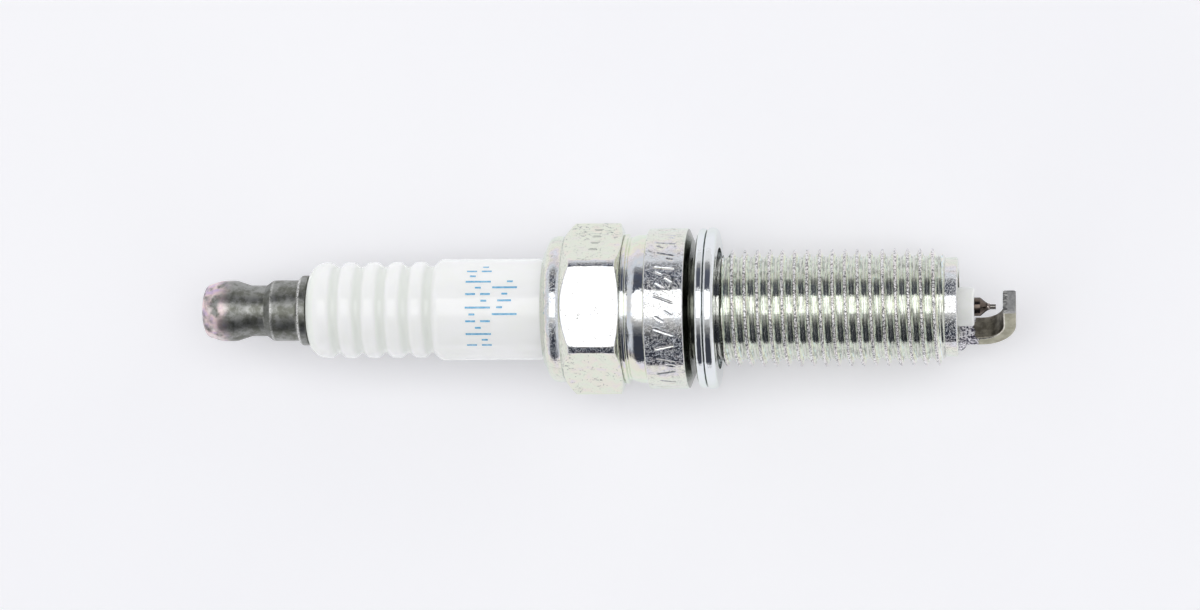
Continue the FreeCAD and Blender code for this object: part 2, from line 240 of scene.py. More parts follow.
class Nodes:
    """Short calls for building the node tree of a new material, or of the world."""

    def __init__(self, name, world=False):
        self.owner = bpy.data.worlds.new(name) if world else bpy.data.materials.new(name)
        self.owner.use_nodes = True
        self.tree = self.owner.node_tree
        self.tree.nodes.clear()
        self.output = self.node("OutputWorld" if world else "OutputMaterial")
        self.place = self.node("TexCoord").outputs["Generated" if world else "Object"]

    def put(self, socket, value):
        """Link an output to an input, or set the input. A colour gets its alpha here."""
        if isinstance(value, bpy.types.NodeSocket):
            self.tree.links.new(value, socket)
        elif socket.type == "RGBA":
            socket.default_value = (*value, 1)
        else:
            socket.default_value = value

    def node(self, kind, inputs=None, **settings):
        """A new node with its settings, and with its inputs filled by name or number."""
        node = self.tree.nodes.new("ShaderNode" + kind)
        for key, value in settings.items():
            setattr(node, key, value)
        for key, value in (inputs or {}).items():
            self.put(node.inputs[key], value)
        return node

    def math(self, operation, first, second=0.0):
        return self.node("Math", {0: first, 1: second}, operation=operation).outputs[0]

    def times(self, first, second):
        return self.math("MULTIPLY", first, second)

    def plus(self, first, second):
        return self.math("ADD", first, second)

    def minus(self, first, second):
        return self.math("SUBTRACT", first, second)

    def between(self, value, low, high, out_low=0.0, out_high=1.0):
        """value carried smoothly from the range low to high, held at its ends, to out_low to out_high."""
        inputs = {"Value": value, "From Min": low, "From Max": high, "To Min": out_low, "To Max": out_high}
        return self.node("MapRange", inputs, interpolation_type="SMOOTHSTEP").outputs["Result"]

    def span(self, value, start, full, ebb, end):
        """1 where value is between full and ebb, easing to 0 at start and at end."""
        return self.times(self.between(value, start, full), self.between(value, ebb, end, 1.0, 0.0))

    def axis(self, letter):
        return self.node("SeparateXYZ", {0: self.place}).outputs[letter]

    def along(self):
        """Place along the plug's axis in millimetres."""
        return self.math("DIVIDE", self.axis("X"), MM)

    def radius(self):
        """Distance from the plug's axis in millimetres."""
        y, z = self.axis("Y"), self.axis("Z")
        return self.math("DIVIDE", self.math("SQRT", self.plus(self.times(y, y), self.times(z, z))), MM)

    def facing(self):
        """0 where a surface faces the eye, 1 where it turns edge on."""
        return self.node("LayerWeight", {"Blend": 0.5}).outputs["Facing"]

    def stretch(self, *factors):
        """The place with each axis scaled. A texture is drawn out along the axes of small factors."""
        return self.node("Mapping", {"Vector": self.place, "Scale": factors}).outputs[0]

    def noise(self, size_mm, detail=3.0, roughness=0.55, vector=None):
        """Noise whose features are about size_mm across."""
        return self.node("TexNoise", {
            "Vector": vector or self.place,
            "Scale": 1 / (size_mm * MM),
            "Detail": detail,
            "Roughness": roughness,
        }).outputs["Fac"]

    def turned(self, size_mm, across, roughness=0.65, detail=3):
        """Fine noise drawn out round the plug's axis, as turning and rolling leave it."""
        return self.noise(size_mm, detail, roughness, self.stretch(1.0, across, across))

    def drift(self, size_mm, amount, detail=3):
        """Noise about zero."""
        return self.times(self.minus(self.noise(size_mm, detail), 0.5), amount)

    def dots(self, size_mm, small, large):
        """1 in a spot at the middle of each random cell, with edges that ease from small to large."""
        node = self.node("TexVoronoi", {"Vector": self.place, "Scale": 1 / (size_mm * MM)})
        return self.between(node.outputs["Distance"], small, large, 1.0, 0.0)

    def mix(self, share, first, second):
        node = self.node("Mix", {"Factor": share, 6: first, 7: second}, data_type="RGBA")
        return node.outputs[2]

    def mottle(self, size_mm, first, second, high=0.65):
        """Patches of two colours about size_mm across."""
        return self.mix(self.between(self.noise(size_mm), 0.35, high), first, second)

    def ramp(self, value, stops):
        """The colour at a value, from (value, colour) stops."""
        node = self.node("ValToRGB", {"Fac": value})
        elements = node.color_ramp.elements
        while len(elements) < len(stops):
            elements.new(0.5)
        for element, (position, colour) in zip(elements, stops):
            element.position = position
            element.color = (*colour, 1)
        return node.outputs["Color"]

    def vivid(self, colour, saturation):
        inputs = {"Saturation": saturation, "Color": colour}
        return self.node("HueSaturation", inputs).outputs[0]

    def bump(self, height, depth_mm, strength=1.0, under=None):
        """The normal of a height map, laid over the normal under it."""
        inputs = {"Strength": strength, "Distance": depth_mm * MM, "Height": height}
        if under is not None:
            inputs["Normal"] = under
        return self.node("Bump", inputs).outputs["Normal"]

    def surface(self, **values):
        """A Principled surface. Keys are its input names with underscores for spaces."""
        inputs = {key.replace("_", " "): value for key, value in values.items()}
        self.put(self.output.inputs[0], self.node("BsdfPrincipled", inputs).outputs[0])
        return self.owner

    def metal(self, colour, roughness, normal):
        return self.surface(Base_Color=colour, Metallic=1.0, Roughness=roughness, Normal=normal)


# ---- materials ----

ZINC_TINTS = [               # from facing the eye to edge on
    (0.00, (0.80, 0.80, 0.79)), (0.18, (0.76, 0.79, 0.83)), (0.32, (0.80, 0.77, 0.78)),
    (0.42, (0.84, 0.82, 0.74)), (0.54, (0.81, 0.84, 0.74)), (0.66, (0.82, 0.82, 0.75)),
    (0.78, (0.77, 0.82, 0.72)), (0.90, (0.78, 0.82, 0.76)), (1.00, (0.64, 0.69, 0.62)),
]
THREAD_TINTS = [             # from root to crest
    (0.00, (0.70, 0.71, 0.66)), (0.14, (0.82, 0.85, 0.74)), (0.24, (0.78, 0.90, 0.94)),
    (0.32, (0.92, 0.88, 0.82)), (0.46, (0.86, 0.90, 0.76)), (0.66, (0.86, 0.90, 0.78)),
    (0.84, (0.95, 0.87, 0.86)), (1.00, (0.86, 0.86, 0.86)),
]
GASKET_TINTS = [             # from facing the eye to edge on
    (0.0, (0.84, 0.86, 0.87)), (0.5, (0.86, 0.89, 0.90)), (0.75, (0.78, 0.83, 0.80)),
    (1.0, (0.62, 0.66, 0.65)),
]
SCRATCH_WIDTH = 0.012        # as a share of the noise that draws the scratches
TERMINAL_END_TINTS_AND_HIGHLIGHT = [           # of the free end, picked by noise; light enough to paint the end's highlight
    (0.30, (0.74, 0.58, 0.80)),
    (0.50, (0.96, 0.76, 0.76)),
    (0.70, (0.94, 0.86, 0.84)),
]


def zinc_plate(name, grain_mm, grain_depth, rough, pits, saturation=1.0, wave_depth=0.02, streak_depth=0.0):
    """Bright zinc with a clear chromate, tinted green, pink and blue, over a grain of the given size."""
    m = Nodes(name)
    colour = m.vivid(m.ramp(m.plus(m.facing(), m.drift(1.3, 0.7)), ZINC_TINTS), saturation)
    spots = m.times(m.dots(0.30, 0.10, 0.20), m.between(m.noise(1.1, 2), 0.46, 0.58))
    colour = m.mix(m.times(spots, pits), colour, (0.13, 0.14, 0.15))
    # A scratch is a thin line where slow noise passes through its middle value.
    off_line = m.math("ABSOLUTE", m.minus(m.noise(0.9, 2, 0.5, m.stretch(0.8, 1.0, 1.6)), 0.5))
    scratch = m.between(off_line, 0.4 * SCRATCH_WIDTH, SCRATCH_WIDTH, 1.0, 0.0)
    scratch = m.times(scratch, m.between(m.noise(1.7, 2), 0.48, 0.60))
    colour = m.mix(m.times(scratch, pits), colour, (0.22, 0.23, 0.22))
    grain = m.noise(grain_mm, 3, 0.6)
    normal = m.bump(m.noise(0.9, 2), wave_depth, 0.6)
    if streak_depth:
        normal = m.bump(m.turned(0.16, 0.14), streak_depth, 1.0, normal)
    normal = m.bump(m.between(grain, 0.50, 0.56), grain_depth, 1.0, normal)
    normal = m.bump(m.minus(1.0, spots), 0.015, pits, normal)
    return m.metal(colour, m.between(grain, 0.35, 0.7, *rough), normal)


def zinc_thread():
    """Rolled thread in zinc: streaks run round it, and off the crests they are darkened, partly as streaks
    in the zinc and partly as painted shade in the valleys. The crests are speckled, the tints are stronger.
    """
    m = Nodes("zinc_thread")
    depth = m.math("DIVIDE", m.minus(m.radius(), THREAD_MINOR_R), THREAD_MAJOR_R - THREAD_MINOR_R)
    colour = m.ramp(m.plus(depth, m.drift(0.8, 0.5)), THREAD_TINTS)
    crest = m.between(m.radius(), THREAD_MAJOR_R - 0.20, THREAD_MAJOR_R - 0.06)
    spots = m.times(m.between(m.noise(0.20, 2), 0.52, 0.57), crest)
    colour = m.mix(m.times(spots, 0.75), colour, (0.07, 0.07, 0.08))
    streaks = m.turned(0.17, 0.13)
    # dark streaks off the crests: partly streaks in the zinc, partly painted shade in the thread's valleys
    streaks_and_valley_shade = m.times(m.between(streaks, 0.53, 0.60), m.minus(1.0, crest))
    colour = m.mix(m.times(streaks_and_valley_shade, 0.45), colour, (0.12, 0.125, 0.13))
    grain = m.noise(0.20, 3, 0.65)
    crest_grain = m.times(grain, m.plus(m.times(crest, 1.7), 0.2))
    normal = m.bump(crest_grain, 0.04, 1.0, m.bump(streaks, 0.030))
    return m.metal(colour, m.between(grain, 0.35, 0.7, 0.04, 0.09), normal)


def zinc_recess_shade():
    """Painted shade for the recess behind the gasket: dark, dull zinc with an olive cast."""
    m = Nodes("zinc_recess_shade")
    patches = m.noise(1.5)
    # painted shade: dark olive-black zinc
    colour = m.mix(m.between(patches, 0.35, 0.65), (0.13, 0.135, 0.11), (0.25, 0.26, 0.22))
    return m.metal(colour, m.between(patches, 0.3, 0.7, 0.16, 0.26), m.bump(m.turned(0.16, 0.14), 0.02))


def gasket_plate():
    """Bluish bright steel with faint rolled lines round the ring."""
    m = Nodes("gasket_plate")
    colour = m.ramp(m.plus(m.facing(), m.drift(1.2, 0.3)), GASKET_TINTS)
    grain = m.noise(0.22, 3, 0.6)
    normal = m.bump(m.noise(1.0, 2), 0.05, 0.6)
    normal = m.bump(m.turned(0.14, 0.12, 0.6), 0.020, 0.8, normal)
    normal = m.bump(grain, 0.008, 0.8, normal)
    return m.metal(colour, m.between(grain, 0.3, 0.7, 0.05, 0.12), normal)


def glaze():
    """White glazed alumina with a few dark specks. Painted shade makes the rib grooves a little greener and
    darker. It has a faint painted glow that only the camera sees, and it throws less light on the floor
    than its own colour would."""
    m = Nodes("glaze")
    colour = m.mottle(2.5, (0.90, 0.91, 0.89), (0.93, 0.935, 0.93), 0.7)
    # painted shade: the rib grooves are made darker and greener
    groove_shade = m.between(m.radius(), RIB_R - 0.02, RIB_GROOVE_R + 0.05)
    groove_shade = m.times(groove_shade, m.between(m.along(), RIBS_END + 0.5, RIBS_END - 0.5))
    colour = m.mix(groove_shade, colour, (0.85, 0.88, 0.83))
    colour = m.mix(m.times(m.dots(2.6, 0.018, 0.028), 0.6), colour, (0.35, 0.33, 0.30))
    rays = m.node("LightPath").outputs
    return m.surface(
        Base_Color=m.mix(m.times(rays["Is Diffuse Ray"], 0.75), colour, (0.10, 0.10, 0.10)),
        Roughness=m.between(m.noise(0.5, 2), 0.3, 0.7, 0.05, 0.10),
        Normal=m.bump(m.noise(1.4, 2), 0.02, 0.12),
        IOR=1.55,
        Emission_Color=colour,
        # painted glow, seen only by the camera
        Emission_Strength=m.times(rays["Is Camera Ray"], 0.165),
        Subsurface_Weight=0.25,
        Subsurface_Radius=(1.0, 1.0, 0.9),
        Subsurface_Scale=0.0006,
    )


def bare_ceramic():
    """The unglazed nose: plain white with a very fine matt grain, and a faint painted glow."""
    m = Nodes("bare_ceramic")
    grain = m.noise(0.05)
    colour = m.mottle(0.9, (0.86, 0.87, 0.85), (0.91, 0.915, 0.90), 0.7)
    return m.surface(
        Base_Color=colour,
        Roughness=m.between(grain, 0.3, 0.7, 0.42, 0.6),
        Normal=m.bump(grain, 0.002, 0.4),
        Emission_Color=colour,
        # painted glow: the nose is brightened by light of its own
        Emission_Strength=0.14,
        Subsurface_Weight=0.2,
        Subsurface_Radius=(1.0, 1.0, 0.9),
        Subsurface_Scale=0.0005,
    )


def terminal_steel():
    """Dark satin steel with an olive cast. The free end has pink and violet tints, made light to paint a
    highlight, and pale specks. Painted shade darkens a ring on the post where it rises to the step, and
    painted highlights lie on the step up to the flange and on the flange's rim."""
    m = Nodes("terminal_steel")
    along = m.along()
    start, seat = TERMINAL_LOW.x, INSULATOR_LOW.x
    patches = m.noise(1.1)
    colour = m.mix(m.between(m.noise(1.4, 5, 0.72), 0.38, 0.62), (0.17, 0.175, 0.15), (0.36, 0.365, 0.35))
    # painted highlight: the free end's tints are made light where the highlight falls on its rounded end
    end_tint_and_highlight = m.times(m.between(along, start + 3.4, start + 1.4), m.between(patches, 0.28, 0.58))
    colour = m.mix(m.times(end_tint_and_highlight, 0.9), colour, m.ramp(m.noise(0.8, 1), TERMINAL_END_TINTS_AND_HIGHLIGHT))
    # painted shade: a dark ring where the post rises to the step
    painted_ring_shade = m.span(along, start + 6.45, start + 6.6, start + 7.1, start + 7.2)
    colour = m.mix(m.times(painted_ring_shade, 0.45), colour, (0.08, 0.085, 0.075))
    # painted highlights on the step and on the flange's rim, broken up by noise
    step = m.times(m.span(along, start + 7.15, start + 7.25, start + 7.3, start + 7.5), 0.6)
    rim = m.span(along, seat - 1.05, seat - 0.98, seat - 0.75, seat - 0.60)
    step_and_rim_highlight = m.times(m.plus(step, rim), m.between(m.noise(0.16), 0.36, 0.56))
    colour = m.mix(step_and_rim_highlight, colour, (0.78, 0.78, 0.76))
    specks = m.times(m.dots(0.24, 0.10, 0.20), m.between(along, start + 6.0, start + 1.5, 0.15, 1.0))
    specks = m.times(specks, m.between(m.noise(1.3, 2), 0.50, 0.60))
    colour = m.mix(m.times(specks, 0.75), colour, (0.80, 0.80, 0.78))
    normal = m.bump(m.noise(0.7, 2), 0.03, 0.6)
    normal = m.bump(m.turned(0.11, 0.05, 0.55, 2), 0.006, 0.5, normal)
    normal = m.bump(m.noise(0.12), 0.008, 0.6, normal)
    return m.metal(colour, m.between(patches, 0.3, 0.7, 0.46, 0.32), normal)


def nickel_alloy(name, light, dark, rough, plated=False):
    """Satin nickel with drawn lines along the metal and slight heat stain. If plated, it is silver and
    violet near the shell, up to a bowed and ragged edge."""
    m = Nodes(name)
    colour = m.mottle(0.8, dark, light)
    lines = m.noise(0.06, 3, vector=m.stretch(0.12, 1.0, 1.0))
    normal = m.bump(lines, 0.004, 0.5)
    if plated:
        turn = math.radians(STRAP_TURN_DEG)
        widthways = {0: m.place, 1: (0, -math.sin(turn), math.cos(turn))}
        dot = m.node("VectorMath", widthways, operation="DOT_PRODUCT")
        share = m.math("DIVIDE", dot.outputs["Value"], STRAP_WIDTH / 2 * MM)
        bow = m.times(m.times(share, share), -0.5)
        edge = m.plus(m.along(), m.plus(bow, m.drift(0.5, 0.8, 2)))
        root = m.between(edge, STRAP_LOW.x + 1.30, STRAP_LOW.x + 1.45, 1.0, 0.0)
        speckle = m.noise(0.22, 3, 0.6)
        plate = m.mix(m.between(speckle, 0.46, 0.51), (0.06, 0.055, 0.09), (0.95, 0.93, 0.98))
        colour = m.mix(root, colour, plate)
        normal = m.bump(m.times(speckle, root), 0.18, 1.0, normal)
    else:
        normal = m.bump(m.noise(0.05, 2), 0.002, 0.4, normal)
    return m.metal(colour, m.between(lines, 0.3, 0.7, *rough), normal)


def sheared_end():
    """The strap's cut end: a third of it is ridged where the shear entered, the rest is dull."""
    m = Nodes("sheared_nickel")
    ridges = m.noise(0.15, 2, 0.5, m.stretch(0.25, 1.0, 1.0))
    entered = m.between(m.along(), STRAP_HIGH.x - 0.78, STRAP_HIGH.x - 0.90)
    dull = m.mottle(0.25, (0.38, 0.38, 0.38), (0.50, 0.50, 0.49))
    ridged = m.mix(m.between(ridges, 0.42, 0.58), (0.17, 0.17, 0.17), (0.60, 0.60, 0.58))
    normal = m.bump(m.times(ridges, entered), 0.035)
    normal = m.bump(m.noise(0.10), 0.008, 0.7, normal)
    return m.metal(m.mix(entered, dull, ridged), 0.42, normal)


def rough_metal(name, light, dark, size_mm, depth_mm, rough):
    """Broken or melted metal: coarse facets and strong colour variation."""
    m = Nodes(name)
    lumps = m.noise(size_mm, 4, 0.65)
    return m.metal(m.mix(m.between(lumps, 0.42, 0.56), dark, light), rough, m.bump(lumps, depth_mm, 0.8))


def plain_solid(name, light, dark, size_mm, metallic, rough):
    """A mottled colour over a fine grain, with roughness that follows the mottle."""
    m = Nodes(name)
    mottle = m.noise(size_mm, 4)
    return m.surface(
        Base_Color=m.mix(m.between(mottle, 0.35, 0.65), dark, light),
        Metallic=metallic,
        Roughness=m.between(mottle, 0.3, 0.7, rough - 0.08, rough + 0.08),
        Normal=m.bump(m.noise(size_mm / 4), 0.01, 0.5),
    )


def blue_ink():
    """Pale blue print, a little uneven where the ink is thin."""
    m = Nodes("blue_ink")
    thin = m.noise(0.35)
    colour = m.mix(m.between(thin, 0.35, 0.7), (0.16, 0.50, 0.80), (0.33, 0.66, 0.90))
    return m.surface(Base_Color=colour, Roughness=m.between(thin, 0.3, 0.7, 0.16, 0.3), Coat_Weight=0.4)


ZINC_SPECKLED = zinc_plate("zinc_speckled", 0.25, 0.014, (0.04, 0.11), 0.7)
ZINC_WAIST = zinc_plate("zinc_waist", 0.30, 0.001, (0.04, 0.09), 0.2, 1.5, 0.04, 0.012)
ZINC_FLAT = zinc_plate("zinc_flat", 0.25, 0.003, (0.10, 0.20), 1.0, 1.2)
ZINC_LIP = zinc_plate("zinc_lip", 0.25, 0.008, (0.05, 0.11), 0.5, 1.2, streak_depth=0.010)
ZINC_PILOT = zinc_plate("zinc_pilot", 0.25, 0.020, (0.04, 0.10), 0.6)
ZINC_THREAD = zinc_thread()
ZINC_RECESS_SHADE = zinc_recess_shade()
GASKET_METAL = gasket_plate()
GLAZE = glaze()
CERAMIC = bare_ceramic()
TERMINAL_METAL = terminal_steel()
STRAP_METAL = nickel_alloy("strap_nickel", (0.485, 0.47, 0.37), (0.36, 0.345, 0.265), (0.30, 0.42), True)
# painted shade: a darker copy of the strap's metal for its inside face
STRAP_INSIDE_SHADE = nickel_alloy("strap_inside_shade", (0.25, 0.23, 0.19), (0.11, 0.10, 0.08), (0.30, 0.44), True)
# painted highlight: a lighter copy for the strip beside the inside's edges
STRAP_EDGE_HIGHLIGHT = nickel_alloy("strap_edge_highlight", (0.80, 0.78, 0.70), (0.60, 0.57, 0.48), (0.22, 0.34))
STRAP_END = sheared_end()
ELECTRODE_METAL = nickel_alloy("electrode_nickel", (0.15, 0.12, 0.10), (0.05, 0.042, 0.036), (0.05, 0.10))
TIP_METAL = nickel_alloy("tip_metal", (0.32, 0.30, 0.28), (0.13, 0.12, 0.11), (0.06, 0.12))
MELTED_METAL = rough_metal("melted_metal", (0.60, 0.54, 0.50), (0.14, 0.10, 0.09), 0.12, 0.03, 0.16)
FLASH_METAL = rough_metal("flash_metal", (0.96, 0.94, 0.97), (0.07, 0.065, 0.10), 0.24, 0.12, 0.12)
INK = blue_ink()
# painted shade for the stamped dents on a hex flat
STAMP_SHADE = plain_solid("stamp_shade", (0.16, 0.17, 0.16), (0.09, 0.09, 0.09), 0.2, 0.6, 0.5)


# ---- terminal ----

TERMINAL_R = 3.08
POST_R = 2.58
STEM_R = 1.6
STEM_GROOVES = 4
STEM_GROOVE_PITCH = 0.8


def terminal():
    left, seat, stem_end = TERMINAL_LOW.x, INSULATOR_LOW.x, TERMINAL_HIGH.x
    corners = [
        (left, 0), (left + 0.05, 1.9, 2.0), (left + 0.4, 2.62, 0.8),
        (left + 1.9, TERMINAL_R, 2.0), (left + 3.4, TERMINAL_R, 2.0),
        (left + 4.85, POST_R, 1.2), (left + 6.5, POST_R, 0.3),
        (left + 7.2, TERMINAL_R, 0.25), (seat - 1.0, TERMINAL_R, 0.12),
        (seat - 1.0, TERMINAL_HIGH.y, 0.42), (seat, TERMINAL_HIGH.y, 0.1), (seat, STEM_R),
    ]
    for number in range(STEM_GROOVES):
        start = stem_end - (STEM_GROOVES - number) * STEM_GROOVE_PITCH
        for place, depth in ((0, 0), (0.2, 0.25), (0.4, 0.25), (0.6, 0)):
            corners.append((start + place, STEM_R - depth))
    corners += [(stem_end, STEM_R, 0.3), (stem_end, 0)]
    lathe("terminal", corners, TERMINAL_METAL, columns=128, node="terminal_stud", slot="terminal_steel")


terminal()


# ---- insulator ----

RIB_GROOVES = 5
RIB_PITCH = 2.385
RIB_FIRST = 3.0              # from the insulator's end to the first groove
TOP_ROUNDING = 1.84
FLANGE_LEFT = -10.56
FLANGE_RIGHT = -5.3
ABOVE_FLANGE_R = 5.04
BELOW_FLANGE_R = 4.0
NOSE_R = 1.93
NOSE_BORE_R = 0.98


def insulator():
    left, tip, lip = INSULATOR_LOW.x, INSULATOR_HIGH.x, SHELL_LOW.x
    flange_r = INSULATOR_HIGH.y
    corners = [
        (left, BORE_R),
        (left, RIB_R, TOP_ROUNDING),
    ]
    for number in range(RIB_GROOVES):
        centre = left + RIB_FIRST + number * RIB_PITCH
        exit_r = BARREL_R if number == RIB_GROOVES - 1 else RIB_R
        corners += [
            (centre - 0.72, RIB_R, 0.7), (centre - 0.2, RIB_GROOVE_R, 0.5),
            (centre + 0.2, RIB_GROOVE_R, 0.5),
            (centre + 0.72 + (exit_r - RIB_R), exit_r, 0.7),
        ]
    corners += [
        (lip + 0.3, BARREL_R), (lip + 0.4, ABOVE_FLANGE_R), (FLANGE_LEFT, ABOVE_FLANGE_R),
        (FLANGE_LEFT, flange_r, 0.6), (FLANGE_RIGHT, flange_r, 0.4),
        (FLANGE_RIGHT + 2.0, BELOW_FLANGE_R, 0.6), (11.5, BELOW_FLANGE_R), (12.3, 3.2, 0.3),
        (tip - 2.6, NOSE_R, 3.0), (tip, NOSE_R, 0.22), (tip, NOSE_BORE_R, 0.1),
        (6.97, NOSE_BORE_R), (6.2, BORE_R),
    ]
    piece = lathe("insulator_body", corners, GLAZE, CERAMIC, columns=144, loop=True,
                  node="insulator", slot="glazed_alumina")
    paint(piece, lambda polygon: CERAMIC if polygon.center.x > 0 else GLAZE)


insulator()


# ---- shell ----

FLAT_COLUMNS = 22
EDGE_DEG = 0.45              # half the width of the rounding between a flat and a corner strip
HEX_EDGE = 0.07              # width of the rounding between a flat and a chamfer
FINE = 5                     # the stamped band has this many columns to each column elsewhere
STAMP_ROWS = 38
STAMP_PLACES = 31
STAMP_DEPTH = 0.07
STAMP_HALF_WIDTH = 0.11
STAMP_SPREAD = 0.16          # radians from a stroke's middle past which it presses nothing
BURR_HEIGHT = 0.016
BURR_AT = 0.17               # from the stroke's middle line
BURR_WIDTH = 0.06
SHELL_FINISHES = (ZINC_SPECKLED, ZINC_WAIST, ZINC_FLAT, ZINC_LIP, ZINC_PILOT, ZINC_THREAD, ZINC_RECESS_SHADE)


def shell_angles():
    """Column angles with lines on every hexagon edge, in radians."""
    strip = CORNER_STRIP_DEG
    first = strip + EDGE_DEG
    span = 360 / HEX_SIDES - 2 * first
    degrees = []
    for side in range(HEX_SIDES):
        corner = side * 360 / HEX_SIDES
        for turn in (-strip - EDGE_DEG, -strip + EDGE_DEG, 0, strip - EDGE_DEG, strip + EDGE_DEG):
            degrees.append(corner + turn)
        for number in range(1, FLAT_COLUMNS):
            degrees.append(corner + first + span * number / FLAT_COLUMNS)
    return [math.radians(angle) for angle in degrees]


def fine_angles(angles):
    """Each step between two columns cut in FINE equal parts."""
    result = []
    for angle, following in zip(angles, angles[1:] + [angles[0] + 2 * math.pi]):
        result += [angle + (following - angle) * part / FINE for part in range(FINE)]
    return result


ANGLES = shell_angles()
COLUMNS = len(ANGLES)
FINE_ANGLES = fine_angles(ANGLES)
FINE_COLUMNS = len(FINE_ANGLES)


def plain_rows(corners, swell=0.0):
    """Rows over an outline that is the same all round, but for a slow swell."""
    rows = []
    for x, r in outline(corners):
        swells = [noise.noise(Vector(round_axis(x * 1.1, 2.4, angle))) for angle in ANGLES]
        rows.append([(x, r + swell * rise) for rise in swells])
    return rows


def hexagon_r(angle):
    """Radius of the hexagon at an angle, before its chamfers: a flat or the turned corner."""
    from_flat = (math.degrees(angle) % 60) - 30
    return min(HEX_FLAT_R / math.cos(math.radians(from_flat)), HEX_CORNER_R)


def hexagon_rows(left, left_r, left_full, right_full, right, right_r):
    """Rows over the two chamfers and the flats. Each row bends so that it follows where they meet."""
    rise = (HEX_CORNER_R - left_r) / (left_full - left)
    fall = (HEX_CORNER_R - right_r) / (right - right_full)
    full_r = [hexagon_r(angle) for angle in ANGLES]
    meet_left = [left + (r - left_r) / rise for r in full_r]
    meet_right = [right - (r - right_r) / fall for r in full_r]
    rows = []
    for share in (0.0, 0.3, 0.6, 0.85):
        rows.append([
            (left + share * (r - left_r) / rise, left_r + share * (r - left_r)) for r in full_r
        ])
    for step, drop in ((-1, rise), (-0.2, 0.42), (0.8, 0)):
        rows.append([(x + HEX_EDGE * step, r - HEX_EDGE * drop) for r, x in zip(full_r, meet_left)])
    for share in (0.1, 0.3, 0.5, 0.7, 0.9):
        rows.append([(a + (b - a) * share, r) for r, a, b in zip(full_r, meet_left, meet_right)])
    for step, drop in ((-0.8, 0), (0.1, 0.5), (0.5, 0.5 * fall)):
        rows.append([(x + HEX_EDGE * step, r - HEX_EDGE * drop) for r, x in zip(full_r, meet_right)])
    for share in (0.6, 0.3, 0.0):
        rows.append([
            (right - share * (r - right_r) / fall, right_r + share * (r - right_r)) for r in full_r
        ])
    return rows


def thread_section():
    """(place in the pitch, radius) points of one rolled thread, from groove centre to groove centre."""
    slope = math.tan(math.radians(30))
    root_half = 0.11
    crest_half = THREAD_PITCH / 16
    depth = THREAD_MAJOR_R - THREAD_MINOR_R
    crest = THREAD_PITCH / 2
    points = [(0.0, 0.0), (root_half * 0.7, 0.004), (root_half + 0.03, 0.06)]
    for share in (0.3, 0.6, 0.88):
        points.append((root_half + share * depth * slope, share * depth))
    points.append((crest - crest_half, depth - 0.012))
    points.append((crest, depth))
    mirrored = [(THREAD_PITCH - place, height) for place, height in reversed(points[1:-1])]
    return [(place, THREAD_MINOR_R + height) for place, height in points + mirrored]


def thread_envelope(x):
    """The most that the radius may be at x: the run-in by the neck and the chamfer by the pilot."""
    run_in = NECK_R + max(0.0, x - THREAD_START) * 1.9
    chamfer = PILOT_R + max(0.0, THREAD_END - x) * 1.55
    return min(run_in, chamfer)


def thread_rows(section):
    """Rows that follow the helix. Where the helix leaves the thread's span, a row waits on its end ring."""
    turns_before = 2
    turns = math.ceil((THREAD_END - THREAD_START) / THREAD_PITCH) + 3
    rows = []
    for turn in range(turns):
        for place, radius in section:
            row = []
            for angle in ANGLES:
                turned = turn - turns_before + (angle + math.pi / 2) / (2 * math.pi)
                x = THREAD_PHASE + turned * THREAD_PITCH + place
                if x <= THREAD_START:
                    row.append((THREAD_START, NECK_R))
                elif x >= THREAD_END:
                    row.append((THREAD_END, PILOT_R))
                else:
                    row.append((x, min(radius, thread_envelope(x))))
            rows.append(row)
    return rows


def stamped_strokes():
    """Generic strokes round the band as (angle, x from the band's middle, half length, lean)."""
    patterns = [
        [(0.0, 0.0, 0.95, 0.35)],
        [(0.0, 0.0, 0.95, 0.10), (0.075, -0.5, 0.30, 0.45)],
        [(0.0, 0.0, 0.90, -0.22)],
        [(-0.03, 0.48, 0.36, 0.6), (0.04, -0.42, 0.36, 0.6)],
        [(0.0, 0.1, 0.80, 0.22), (0.075, 0.5, 0.26, 0.22)],
    ]
    strokes = []
    for number in range(STAMP_PLACES):
        place = math.radians(4 + number * 360 / STAMP_PLACES)
        for angle, *stroke in patterns[(number * 7 + number // 4) % len(patterns)]:
            strokes.append((place + angle, *stroke))
    return strokes


def stamp_depth(angle, x, strokes, radius):
    """How far the surface is pressed in at a point, less the metal pushed up beside the stroke."""
    depth = 0.0
    for centre, middle, half, lean in strokes:
        across = (angle - centre + math.pi) % (2 * math.pi) - math.pi
        if abs(across) > STAMP_SPREAD:
            continue
        u = across * radius
        v = x - middle
        direction = Vector((math.sin(lean), math.cos(lean)))
        along = max(-half, min(half, u * direction.x + v * direction.y))
        distance = math.hypot(u - along * direction.x, v - along * direction.y)
        press = max(0.0, 1 - (distance / STAMP_HALF_WIDTH) ** 2)
        burr = math.exp(-((distance - BURR_AT) / BURR_WIDTH) ** 2)
        depth = max(depth, STAMP_DEPTH * press) - BURR_HEIGHT * burr
    return depth


